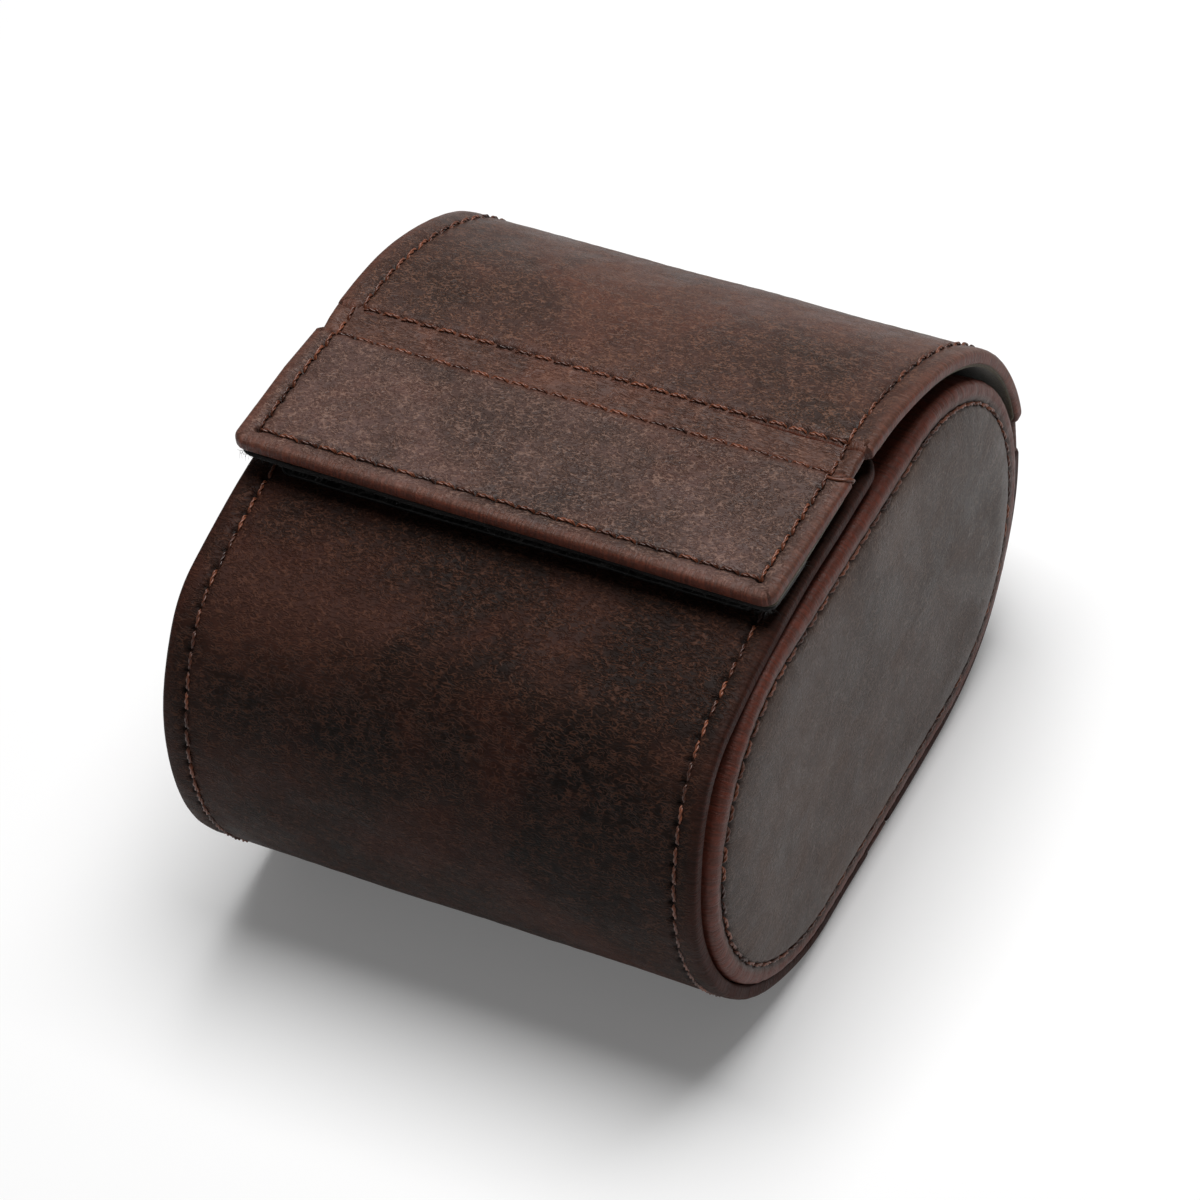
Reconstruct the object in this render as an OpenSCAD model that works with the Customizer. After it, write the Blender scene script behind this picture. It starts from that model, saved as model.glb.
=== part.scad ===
// Leather watch roll: a stiffened wrap around an oval drum that holds one watch on a cushion.
// +X runs across the wrap, +Y to the back, +Z up. The origin is under the middle, on the rest plane.

/* [Wrap] */
// Width of the wrap, and so of the whole case
wrap_w = 80; // [64:1:110]
// Outer radius of the front and back rounds, half the height of the drum
round_r = 33.5; // [31:0.5:40]
// Distance between the centres of the two rounds
round_pitch = 35; // [30:1:50]
// Leather on the outside of a panel
skin_t = 1.1; // [0.8:0.1:1.6]
// Stiffening board inside a panel
board_t = 0.7; // [0.5:0.1:1.2]
// Suede on the inside of a panel
lining_t = 0.4; // [0.3:0.1:0.8]
// Leather turned in around the edges of a panel
turned_edge = 5; // [3:0.5:8]

/* [Folds] */
// Length of bare leather that bends at each fold
fold_w = 5; // [3.5:0.5:7]
// Thickness of the leather in a fold
fold_t = 1.2; // [0.8:0.1:1.6]
// How far the back fold lies below the faces of its panels
fold_sink = 0.4; // [0.1:0.1:0.7]
// Distance of the bottom fold ahead of the middle of the case
bottom_fold_y = 2; // [0:0.5:5]
// Height of the middle of the back fold
back_fold_z = 31; // [26:0.5:33]
// Distance of the top fold behind the middle of the case
top_fold_y = 5.6; // [3:0.2:8]

/* [Lid] */
// Height of the top of the lid above the top of the plain rounds
lid_rise = 2; // [1.5:0.1:4]
// Radius of the lid above the back fold
lid_r = 31.6; // [29:0.1:33]
// Angle above the back at which the lid turns into its flatter top
lid_shoulder_a = 54; // [48:1:60]

/* [Front panel] */
// Angle above the front at which the front round tightens into the brow
brow_start_a = 40; // [35:1:45]
// Radius of the brow
brow_r = 14.7; // [12:0.1:18]
// Angle left to the level where the brow turns into the gentle top
roof_a = 16; // [13:1:18]
// Room between the tongue and the lid over it
tongue_gap = 2.8; // [2.4:0.1:3.4]
// How far the end of the tongue reaches behind the middle
tongue_reach = 12; // [9:0.5:16]
// Radius of the corners of the tongue
tongue_corner_r = 4; // [2:0.5:8]

/* [Flap] */
// Length of the flap from the top fold to its front edge
flap_len = 24; // [20:0.5:26]
// Step from the top of the lid down to the flap
flap_step = 0.5; // [0.3:0.1:1.2]
// Step from the flap down to the top fold
top_fold_step = 0.4; // [0.2:0.1:0.8]
// Radius of the flap's front corners
flap_corner_r = 2; // [1:0.5:5]

/* [Closure] */
// Thickness of the loop tape under the flap
loop_t = 0.8; // [0.5:0.1:1]
// Thickness of the hook tape on the front panel
hook_t = 0.6; // [0.4:0.1:0.8]
// Length of the loop tape from the front edge of the flap
loop_len = 18; // [12:0.5:19]
// Length of the hook tape
hook_len = 12; // [8:0.5:13]
// Border between the loop tape and the edges of the flap
loop_border = 0.8; // [0.5:0.1:3]
// Border between the hook tape and the sides of the front panel
hook_border = 5; // [3:0.5:10]

/* [End caps] */
// Thickness of an end cap at its rim
cap_t = 5; // [4:0.1:6]
// Gap between the ends of a cap and the wrap
cap_gap = 0.8; // [0.7:0.1:1.2]
// Gap between the bottom of a cap and the wrap
cap_lift = 1; // [0.8:0.1:1.8]
// Gap between the top of a cap and the tongue
cap_drop = 1.6; // [1.4:0.1:3]
// How far the rim of a cap stands out beyond the edge of the wrap
cap_proud = 1; // [0:0.1:2]
// Leather of a cap
cap_skin_t = 1.2; // [0.9:0.1:1.6]
// Board in a cap
cap_board_t = 1.2; // [0.8:0.1:1.4]
// Suede on the inside of a cap
cap_lining_t = 0.5; // [0.3:0.1:0.7]
// Radius of the rolled rim of a cap
cap_rim_r = 1.1; // [0.6:0.1:1.5]
// Distance of the seam from the rim of a cap
cap_seam_in = 3; // [2.4:0.1:5]
// Width of the channel that the seam presses in
cap_seam_w = 1.2; // [0.8:0.1:1.6]
// Depth of the channel that the seam presses in
cap_seam_d = 0.35; // [0.1:0.05:0.6]
// Crown of a cap inside its seam
cap_crown = 0.5; // [0.1:0.1:0.5]

/* [Padded wall] */
// Thickness of the padding between the wrap and the suede
wall_pad_t = 2.2; // [1.8:0.1:3]
// Thickness of the suede on the padding
wall_suede_t = 0.6; // [0.4:0.1:1]

/* [Cushion] */
// Length of the cushion from front to back
cushion_l = 62; // [54:1:68]
// Height of the cushion
cushion_h = 42; // [36:1:44]
// Room between an end of the cushion and the cap beside it
cushion_side_gap = 2.5; // [1:0.5:8]
// Thickness of the suede and wadding over the core
cushion_wad = 4; // [3:0.5:6]
// How far the sides of the cushion draw in towards its ends
cushion_draw = 2; // [1:0.25:2.5]
// Thickness of an end panel of the cushion
cushion_end_t = 2.5; // [2:0.5:4]

/* [Clearances] */
// Gap between pieces that move past or rest on each other
seat_gap = 0.3; // [0.2:0.1:0.5]

/* [Hidden] */
$fn = 96;

// Degrees between the points of a drawn arc
arc_step = 5;
// Length by which a cutting solid passes the face that it opens
through = 1;

panel_t = skin_t + board_t + lining_t;
board_in = skin_t + board_t;
half_len = round_pitch / 2 + round_r;
lid_top = 2 * round_r + lid_rise;

// Front panel: three arcs that run into each other, then the level tongue
front_c = [-round_pitch / 2, round_r];
front_end_a = 180 - brow_start_a;
brow_c = at(front_c, round_r - brow_r, front_end_a);
brow_end_a = 90 + roof_a;
brow_end_z = at(brow_c, brow_r, brow_end_a)[1];
tongue_top = lid_top - panel_t - tongue_gap;
roof_r = (tongue_top - brow_end_z) / (1 - sin(brow_end_a));
roof_c = at(brow_c, brow_r - roof_r, brow_end_a);
front_edge_y = -bottom_fold_y - fold_w / 2;

// Back panel: level from the bottom fold, then round up to the back fold
back_c = [round_pitch / 2, round_r];
back_edge_y = -bottom_fold_y + fold_w / 2;
back_end_a = height_angle(back_fold_z - fold_w / 2, round_r);
back_turn_a = back_end_a - length_angle(turned_edge, round_r);
back_fold_end_a = height_angle(back_fold_z + fold_w / 2, round_r);

// Lid: a round above the back fold, then the flatter top
lid_c = [half_len - lid_r, round_r];
lid_start_a = height_angle(back_fold_z + fold_w / 2 + seat_gap, lid_r);
lid_shoulder_z = at(lid_c, lid_r, lid_shoulder_a)[1];
lid_top_r = (lid_top - lid_shoulder_z) / (1 - sin(lid_shoulder_a));
lid_top_c = at(lid_c, lid_r - lid_top_r, lid_shoulder_a);
lid_front_y = top_fold_y + fold_w / 2;

// Flap and tapes
flap_top = lid_top - flap_step;
flap_back_y = top_fold_y - fold_w / 2 - seat_gap;
flap_front_y = flap_back_y - flap_len;
loop_top = flap_top - panel_t;
loop_front_y = flap_front_y + loop_border;
hook_front_y = loop_front_y + loop_border;

// End caps
cap_r = (tongue_top - 2 * panel_t - cap_lift - cap_drop) / 2;
cap_pitch = 2 * (half_len - panel_t - cap_gap - cap_r);
cap_z = panel_t + cap_lift + cap_r;
cap_inner_x = wrap_w / 2 + cap_proud - cap_t;
cap_pocket_r = cap_r - cap_skin_t;
cap_pad_t = cap_t - cap_skin_t - cap_board_t - cap_lining_t;
crown_r = cap_r - cap_seam_in - cap_seam_w / 2;

// Wall and cushion
wall_t = wall_pad_t + wall_suede_t;
cushion_w = 2 * (cap_inner_x - cushion_side_gap);
cushion_bottom = panel_t + wall_t + seat_gap;
cushion_r = cushion_h / 2;
cushion_pitch = cushion_l - cushion_h;
cushion_core_r = cushion_r - cushion_wad;
cushion_z = cushion_bottom + cushion_r;
cushion_rings = 12;
cushion_round_steps = 16;

function at(c, r, a) = c + r * [cos(a), sin(a)];
function height_angle(z, r) = asin((z - round_r) / r);
function length_angle(l, r) = l / r * 180 / PI;
function backwards(p) = [for (i = [len(p) - 1:-1:0]) p[i]];
function arc_count(a0, a1) = max(2, ceil(abs(a1 - a0) / arc_step));
function arc(c, r, a0, a1, first = 0) =
    let (n = arc_count(a0, a1))
    [for (i = [first:n]) at(c, r, a0 + (a1 - a0) * i / n)];

// Outlines at a depth d under the outer face, cut back by e at each end
function front_arcs(d) = concat(
    arc(front_c, round_r - d, 270, front_end_a),
    arc(brow_c, brow_r - d, front_end_a, brow_end_a, 1)
);
function front_path(d, e) = concat(
    [[front_edge_y - e, d]],
    front_arcs(d),
    arc(roof_c, roof_r - d, brow_end_a, 90, 1),
    [[tongue_reach - e, tongue_top - d]]
);
function back_arcs(d, whole) = concat(
    arc(back_c, round_r - d, -90, back_turn_a),
    whole ? arc(back_c, round_r - d, back_turn_a, back_end_a, 1) : []
);
function back_path(d, e) = concat([[back_edge_y + e, d]], back_arcs(d, e == 0));
function lid_end_a(d, e) = acos((lid_front_y + e - lid_top_c[0]) / (lid_top_r - d));
function lid_path(d, e) = concat(
    arc(lid_c, lid_r - d, lid_start_a + length_angle(e, lid_r), lid_shoulder_a),
    arc(lid_top_c, lid_top_r - d, lid_shoulder_a, lid_end_a(d, e), 1)
);
function wall_path(d) = concat(
    backwards(front_arcs(d)),
    back_arcs(d, true)
);
function band(outer, inner) = concat(outer, backwards(inner));

// Carries a drawing of the side view across the case, centred on x = 0
module across(w) {
    rotate([90, 0, 90])
        translate([0, 0, -w / 2])
            linear_extrude(w)
                children();
}

module stadium(r, pitch) {
    square([pitch, 2 * r], center = true);
    for (side = [-1, 1])
        translate([side * pitch / 2, 0])
            circle(r);
}

// Plan with round corners at its front or back, used to trim a panel
module round_ended(w, y0, y1, r, at_back) {
    y_corner = at_back ? y1 - r : y0 + r;
    translate([-w / 2 + r, y0])
        square([w - 2 * r, y1 - y0]);
    translate([-w / 2, at_back ? y0 : y_corner])
        square([w, y1 - y0 - r]);
    for (side = [-1, 1])
        translate([side * (w / 2 - r), y_corner])
            circle(r);
}

module front_plan(d) {
    translate([0, 0, -through])
        linear_extrude(lid_top)
            round_ended(wrap_w - 2 * d, -half_len - through, tongue_reach - d, tongue_corner_r, true);
}

module front_leather() {
    color("#5a352a")
    difference() {
        intersection() {
            across(wrap_w)
                polygon(band(front_path(0, 0), front_path(panel_t, 0)));
            front_plan(0);
        }
        across(wrap_w - 2 * turned_edge)
            polygon(band(front_path(skin_t, turned_edge), front_path(panel_t + through, turned_edge)));
    }
}

module front_board() {
    color("#8c7458")
    across(wrap_w - 2 * turned_edge)
        polygon(band(front_path(skin_t, turned_edge), front_path(board_in, turned_edge)));
}

module front_lining() {
    color("#4c3f27")
    across(wrap_w - 2 * turned_edge)
        polygon(band(front_path(board_in, turned_edge), front_path(panel_t, turned_edge)));
}

module back_leather() {
    color("#5a352a")
    difference() {
        across(wrap_w)
            polygon(band(back_path(0, 0), back_path(panel_t, 0)));
        across(wrap_w - 2 * turned_edge)
            polygon(band(back_path(skin_t, turned_edge), back_path(panel_t + through, turned_edge)));
    }
}

module back_board() {
    color("#8c7458")
    across(wrap_w - 2 * turned_edge)
        polygon(band(back_path(skin_t, turned_edge), back_path(board_in, turned_edge)));
}

module back_lining() {
    color("#4c3f27")
    across(wrap_w - 2 * turned_edge)
        polygon(band(back_path(board_in, turned_edge), back_path(panel_t, turned_edge)));
}

module bottom_fold() {
    color("#6a3f30")
    translate([-wrap_w / 2, front_edge_y, 0])
        cube([wrap_w, fold_w, fold_t]);
}

module back_fold() {
    color("#6a3f30")
    across(wrap_w)
        polygon(band(
            arc(back_c, round_r - fold_sink, back_end_a, back_fold_end_a),
            arc(back_c, round_r - fold_sink - fold_t, back_end_a, back_fold_end_a)
        ));
}

module hook_tape() {
    color("#1b1a1a")
    intersection() {
        across(wrap_w - 2 * hook_border)
            polygon(band(front_path(-hook_t, 0), front_path(0, 0)));
        translate([-wrap_w / 2, hook_front_y, round_r])
            cube([wrap_w, hook_len, lid_top - round_r]);
    }
}

module wall_padding() {
    color("#2e2a26")
    across(2 * cap_inner_x)
        polygon(band(wall_path(panel_t), wall_path(panel_t + wall_pad_t)));
}

module wall_suede() {
    color("#4c3f27")
    across(2 * cap_inner_x)
        polygon(band(wall_path(panel_t + wall_pad_t), wall_path(panel_t + wall_t)));
}

// Half section of a cap, from its middle out to the rim and back over the seam and the crown
function cap_profile() = concat(
    [[0, 0], [cap_r, 0]],
    arc([cap_r - cap_rim_r, cap_t - cap_rim_r], cap_rim_r, 0, 90),
    [[crown_r + cap_seam_w, cap_t], [crown_r + cap_seam_w / 2, cap_t - cap_seam_d], [crown_r, cap_t]],
    [for (i = [1:8]) let (u = 1 - i / 8) [crown_r * u, cap_t + cap_crown * (1 - pow(u, 4))]]
);
function mirrored(p) = [for (q = p) [-q[0], q[1]]];

module cap_form() {
    for (side = [-1, 1])
        translate([side * cap_pitch / 2, 0, 0])
            rotate_extrude()
                polygon(cap_profile());
    rotate([90, 0, 90])
        translate([0, 0, -cap_pitch / 2])
            linear_extrude(cap_pitch) {
                polygon(cap_profile());
                polygon(mirrored(cap_profile()));
            }
}

// Places a cap's layers, drawn flat with the outside up, in the side of the case
module in_side(side) {
    mirror([side < 0 ? 1 : 0, 0, 0])
        translate([cap_inner_x, 0, cap_z])
            rotate([90, 0, 90])
                children();
}

module cap_leather(side) {
    color("#5f5048")
    in_side(side)
        difference() {
            cap_form();
            translate([0, 0, -through])
                linear_extrude(cap_t - cap_skin_t + through)
                    stadium(cap_pocket_r, cap_pitch);
        }
}

module cap_layer(side, low, thick) {
    in_side(side)
        translate([0, 0, low])
            linear_extrude(thick)
                stadium(cap_pocket_r, cap_pitch);
}

module cap_padding(side) {
    color("#2e2a26")
    cap_layer(side, cap_lining_t + cap_board_t, cap_pad_t);
}

module cap_board(side) {
    color("#8c7458")
    cap_layer(side, cap_lining_t, cap_board_t);
}

module cap_lining(side) {
    color("#4c3f27")
    cap_layer(side, 0, cap_lining_t);
}

module lid_leather() {
    color("#6b4638")
    difference() {
        across(wrap_w)
            polygon(band(lid_path(0, 0), lid_path(panel_t, 0)));
        across(wrap_w - 2 * turned_edge)
            polygon(band(lid_path(skin_t, turned_edge), lid_path(panel_t + through, turned_edge)));
    }
}

module lid_board() {
    color("#8c7458")
    across(wrap_w - 2 * turned_edge)
        polygon(band(lid_path(skin_t, turned_edge), lid_path(board_in, turned_edge)));
}

module lid_lining() {
    color("#4c3f27")
    across(wrap_w - 2 * turned_edge)
        polygon(band(lid_path(board_in, turned_edge), lid_path(panel_t, turned_edge)));
}

module top_fold() {
    color("#6a3f30")
    translate([-wrap_w / 2, top_fold_y - fold_w / 2, flap_top - top_fold_step - fold_t])
        cube([wrap_w, fold_w, fold_t]);
}

module flap_slab(top, thick, border) {
    translate([0, 0, top - thick])
        linear_extrude(thick)
            round_ended(
                wrap_w - 2 * border, flap_front_y + border, flap_back_y - border,
                flap_corner_r, false
            );
}

module flap_leather() {
    color("#564039")
    difference() {
        flap_slab(flap_top, panel_t, 0);
        flap_slab(flap_top - skin_t, panel_t, turned_edge);
    }
}

module flap_board() {
    color("#8c7458")
    flap_slab(flap_top - skin_t, board_t, turned_edge);
}

module flap_lining() {
    color("#4c3f27")
    flap_slab(flap_top - board_in, lining_t, turned_edge);
}

module loop_tape() {
    color("#141313")
    translate([-wrap_w / 2 + loop_border, loop_front_y, loop_top - loop_t])
        cube([wrap_w - 2 * loop_border, loop_len, loop_t]);
}

// Stadium outline of the cushion as points, drawn in by d
function cushion_ring(d) = [
    for (end = [0, 1], i = [0:cushion_round_steps])
        at([(0.5 - end) * cushion_pitch, 0], cushion_r - d, -90 + 180 * (end + i / cushion_round_steps))
];

// The cover swells in the middle of the roll and draws in to its ends
module cushion_cover() {
    n = len(cushion_ring(0));
    points = [
        for (k = [0:cushion_rings])
            let (u = 2 * k / cushion_rings - 1, d = cushion_draw * pow(u, 4))
            for (p = cushion_ring(d)) [u * cushion_w / 2, p[0], p[1]]
    ];
    sides = [
        for (k = [0:cushion_rings - 1], i = [0:n - 1])
            let (j = (i + 1) % n, a = k * n)
            for (t = [[a + i, a + n + i, a + j], [a + j, a + n + i, a + n + j]]) t
    ];
    ends = [
        [for (i = [0:n - 1]) i],
        [for (i = [n - 1:-1:0]) cushion_rings * n + i]
    ];
    color("#6f5a3c")
    translate([0, 0, cushion_z])
        difference() {
            polyhedron(points, concat(sides, ends));
            across(cushion_w + 2 * through)
                stadium(cushion_core_r, cushion_pitch);
        }
}

module cushion_core() {
    color("#cfc7b8")
    translate([0, 0, cushion_z])
        across(cushion_w - 2 * cushion_end_t)
            stadium(cushion_core_r, cushion_pitch);
}

module cushion_end(side) {
    color("#6f5a3c")
    translate([side * (cushion_w - cushion_end_t) / 2, 0, cushion_z])
        across(cushion_end_t)
            stadium(cushion_core_r, cushion_pitch);
}

front_leather();
front_board();
front_lining();
back_leather();
back_board();
back_lining();
bottom_fold();
back_fold();
hook_tape();
wall_padding();
wall_suede();
cap_leather(-1);  // left_cap_leather
cap_padding(-1);  // left_cap_padding
cap_board(-1);  // left_cap_board
cap_lining(-1);  // left_cap_lining
cap_leather(1);  // right_cap_leather
cap_padding(1);  // right_cap_padding
cap_board(1);  // right_cap_board
cap_lining(1);  // right_cap_lining
lid_leather();
lid_board();
lid_lining();
top_fold();
flap_leather();
flap_board();
flap_lining();
loop_tape();
cushion_cover();
cushion_core();
cushion_end(-1);  // cushion_left_end
cushion_end(1);  // cushion_right_end
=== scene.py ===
import bpy
import math
import numpy as np
from mathutils import Matrix, Vector


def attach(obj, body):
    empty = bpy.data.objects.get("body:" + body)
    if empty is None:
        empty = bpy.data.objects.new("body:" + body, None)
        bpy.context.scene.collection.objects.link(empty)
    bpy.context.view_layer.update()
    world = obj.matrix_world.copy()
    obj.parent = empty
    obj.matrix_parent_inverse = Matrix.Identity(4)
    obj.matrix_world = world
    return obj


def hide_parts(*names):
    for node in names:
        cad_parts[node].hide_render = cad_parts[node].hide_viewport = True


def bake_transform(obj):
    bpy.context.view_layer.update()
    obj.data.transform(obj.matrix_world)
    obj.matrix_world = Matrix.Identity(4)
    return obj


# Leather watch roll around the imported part. Lengths in the dictionaries are in mm.
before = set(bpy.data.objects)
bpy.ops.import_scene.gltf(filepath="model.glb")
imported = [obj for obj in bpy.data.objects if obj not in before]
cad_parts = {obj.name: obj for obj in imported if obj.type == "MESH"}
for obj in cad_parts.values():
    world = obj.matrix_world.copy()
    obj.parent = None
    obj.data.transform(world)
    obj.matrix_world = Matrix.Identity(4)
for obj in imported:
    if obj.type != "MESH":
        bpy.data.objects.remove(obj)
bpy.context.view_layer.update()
mm = 0.001
scene = bpy.context.scene
print("frame loaded")

# Camera at the photograph's viewing angle, turned 10 degrees on its axis
cameraSet = {
    "place": (290.923, -422.970, 576.652),
    "right": (0.88251, 0.45482, -0.11968),
    "up": (-0.26334, 0.68873, 0.67550),
    "back": (0.38966, -0.56462, 0.72758),
    "lens": 161.73,
}
cameraData = bpy.data.cameras.new("photoCamera")
cameraData.lens = cameraSet["lens"]
cameraData.sensor_width = 36.0
cameraData.clip_start = 0.01
cameraData.clip_end = 20.0
camera = bpy.data.objects.new("photoCamera", cameraData)
scene.collection.objects.link(camera)
turn = Matrix((cameraSet["right"], cameraSet["up"], cameraSet["back"])).transposed().to_4x4()
camera.matrix_world = Matrix.Translation(Vector(cameraSet["place"]) * mm) @ turn
scene.camera = camera
scene.view_settings.view_transform = "Standard"


# Paths round the drum, seen from the right side
def onCircle(centre, radius, degrees):
    a = math.radians(degrees)
    return (centre[0] + radius * math.cos(a), centre[1] + radius * math.sin(a))


def tracePath(legs, run=6.0):
    # legs run clockwise: ("line", from, to) or ("arc", centre, radius, start angle, end angle)
    rows = []
    for leg in legs:
        if leg[0] == "line":
            a, b = np.array(leg[1], float), np.array(leg[2], float)
            t = (b - a) / np.linalg.norm(b - a)
            count = max(2, int(np.linalg.norm(b - a) / 0.5))
            for f in np.linspace(0, 1, count):
                p = a + (b - a) * f
                rows.append((p[0], p[1], -t[1], t[0]))
        else:
            _, centre, radius, start, end = leg
            count = max(3, int(abs(end - start) / 1.0))
            for f in np.linspace(0, 1, count):
                d = start + (end - start) * f
                y, z = onCircle(centre, radius, d)
                rows.append((y, z, math.cos(math.radians(d)), math.sin(math.radians(d))))
    rows = np.array(rows)
    gaps = np.hypot(np.diff(rows[:, 0]), np.diff(rows[:, 1]))
    keep = np.concatenate([[True], gaps > 1e-6])
    rows = rows[keep]
    s = np.concatenate([[0], np.cumsum(np.hypot(np.diff(rows[:, 0]), np.diff(rows[:, 1])))])
    first, last = rows[0].copy(), rows[-1].copy()
    first[:2] -= np.array([first[3], -first[2]]) * run
    last[:2] += np.array([last[3], -last[2]]) * run
    rows = np.vstack([first, rows, last])
    s = np.concatenate([[-run], s, [s[-1] + run]])
    return {"s": s, "rows": rows, "length": s[-1] - run}


def insidePath(path, depth):
    # The same path seen from the hollow side, at a depth under the outer face
    rows = path["rows"].copy()
    rows[:, :2] -= rows[:, 2:] * depth
    rows[:, 2:] *= -1
    rows = rows[::-1]
    s = np.concatenate([[0], np.cumsum(np.hypot(np.diff(rows[:, 0]), np.diff(rows[:, 1])))])
    return {"s": s - s[1], "rows": rows, "length": s[-2] - s[1]}


def placeOn(path, x, s, depth):
    y = np.interp(s, path["s"], path["rows"][:, 0])
    z = np.interp(s, path["s"], path["rows"][:, 1])
    ny = np.interp(s, path["s"], path["rows"][:, 2])
    nz = np.interp(s, path["s"], path["rows"][:, 3])
    size = np.hypot(ny, nz)
    ny, nz = ny / size, nz / size
    return np.stack([x, y - depth * ny, z - depth * nz], axis=-1), np.stack([0 * x, ny, nz], axis=-1)


drum = {
    "width": 80.0,
    "frontCentre": (-17.5, 33.5), "round": 33.5,
    "browCentre": (-31.90, 45.58), "brow": 14.7,
    "roofCentre": (-5.44, -46.70), "roof": 110.7,
    "backCentre": (17.5, 33.5), "backTop": -8.58,
    "lidCentre": (19.4, 33.5), "lidRound": 31.6,
    "lidTopCentre": (7.40, 16.98), "lidTopRound": 52.02,
}
frontPath = tracePath([
    ("line", (-4.5, 0), (-17.5, 0)),
    ("arc", drum["frontCentre"], drum["round"], 270, 140),
    ("arc", drum["browCentre"], drum["brow"], 140, 106),
    ("arc", drum["roofCentre"], drum["roof"], 106, 90),
    ("line", (-5.44, 64.0), (12, 64.0)),
])
backPath = tracePath([
    ("arc", drum["backCentre"], drum["round"], drum["backTop"], -90),
    ("line", (17.5, 0), (0.5, 0)),
])
lidPath = tracePath([
    ("arc", drum["lidTopCentre"], drum["lidTopRound"], 89.23, 54),
    ("arc", drum["lidCentre"], drum["lidRound"], 54, 0.54),
])
flapPath = tracePath([("line", (-21.2, 68.95), (-12.0, 68.75)), ("line", (-12.0, 68.75), (2.8, 68.5))])
wallPath = tracePath([
    ("arc", drum["backCentre"], drum["round"], drum["backTop"], -90),
    ("line", (17.5, 0), (-17.5, 0)),
    ("arc", drum["frontCentre"], drum["round"], 270, 140),
    ("arc", drum["browCentre"], drum["brow"], 140, 106),
])
print("paths traced", round(frontPath["length"], 1), round(lidPath["length"], 1))


half = drum["width"] / 2
inset = 3.0
stitchPitch = 3.0

def waves(x, s, size, seed, count=7):
    # Smooth unevenness between about -1 and 1, with bumps of about that size
    rng = np.random.default_rng(seed)
    total = 0 * x
    for _ in range(count):
        a, p = rng.uniform(0, 2 * math.pi, 2)
        k = 2 * math.pi / (size * rng.uniform(0.7, 1.6))
        total = total + np.cos(k * (x * math.cos(a) + s * math.sin(a)) + p)
    return total / math.sqrt(count * 2)


def meshPiece(name, points, faces, material, marks=None):
    mesh = bpy.data.meshes.new(name)
    mesh.from_pydata([tuple(p) for p in np.asarray(points) * mm], [], faces)
    mesh.validate()
    mesh.polygons.foreach_set("use_smooth", [True] * len(mesh.polygons))
    for key, values in (marks or {}).items():
        values = np.asarray(values, np.float32)
        kind = "FLOAT_VECTOR" if values.ndim == 2 else "FLOAT"
        mark = mesh.attributes.new(key, kind, "POINT")
        mark.data.foreach_set("vector" if values.ndim == 2 else "value", values.ravel())
    mesh.materials.append(material)
    piece = bpy.data.objects.new(name, mesh)
    scene.collection.objects.link(piece)
    return piece


def stitchRow(start, end, pitch=stitchPitch):
    a, b = np.array(start, float), np.array(end, float)
    count = max(1, round(np.linalg.norm(b - a) / pitch))
    return {"a": a, "b": b, "holes": a + (b - a) * np.linspace(0, 1, count + 1)[:, None]}


def sideRows(start, end):
    return [stitchRow((side * (half - inset), start), (side * (half - inset), end)) for side in (-1, 1)]


def crossRow(s, sink=0.0):
    return dict(stitchRow((-half + inset, s), (half - inset, s)), sink=sink)


def dress(piece, body, slot, *nodes):
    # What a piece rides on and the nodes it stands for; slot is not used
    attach(piece, body)
    if nodes:
        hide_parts(*nodes)


def seamRelief(x, s, rows, channel=0.16, pit=0.5):
    # Stitch channels and needle holes pressed into the leather; dark is painted shade in the channels and the holes
    height, dark = 0 * x, 0 * x
    for row in rows:
        a, b = row["a"], row["b"]
        t = np.clip(((x - a[0]) * (b - a)[0] + (s - a[1]) * (b - a)[1]) / ((b - a) @ (b - a)), 0, 1)
        away = np.hypot(x - a[0] - t * (b - a)[0], s - a[1] - t * (b - a)[1])
        height = height - channel * np.exp(-(away / 0.6) ** 2)
        dark = np.maximum(dark, 0.45 * np.exp(-(away / 0.5) ** 2))
        for hole in row["holes"]:
            near = (np.abs(x - hole[0]) < 1.2) & (np.abs(s - hole[1]) < 1.2)
            q = (x[near] - hole[0]) ** 2 + (s[near] - hole[1]) ** 2
            height[near] -= pit * np.exp(-q / 0.17)
            dark[near] = np.maximum(dark[near], np.exp(-(q / 0.32) ** 1.5))
    return height, dark


def gridLine(low, high, step, marks, row):
    # Grid positions with seven steps to each stitch, and closer ones beside the seams
    if row is None:
        line = list(np.linspace(low, high, max(3, int(round((high - low) / step)) + 1)))
    else:
        start, end, count = row
        line = list(np.linspace(start, end, count * 7 + 1))
        line += [start - k * step for k in range(1, 60) if start - k * step > low]
        line += [end + k * step for k in range(1, 60) if end + k * step < high]
        line += [low, high]
    for mark in marks:
        line += [mark + k * 0.2 for k in range(-4, 5) if low < mark + k * 0.2 < high]
    line = sorted(line)
    kept = [line[0]]
    for value in line[1:]:
        if value - kept[-1] > 0.1:
            kept.append(value)
    kept[-1] = high
    return np.array(kept)


def leftLift(points, amount):
    # The flap and its fold stand a little wide and high at their left end, amount = (wide, high) in mm
    share = np.clip((half - points[:, 0]) / (2 * half), 0, 1.1)
    hold = 0.15 + 0.85 * np.clip((2.8 - points[:, 1]) / 9, 0, 1)
    return points + np.stack([-amount[0] * share, 0 * share, amount[1] * share * hold], 1)


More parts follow.
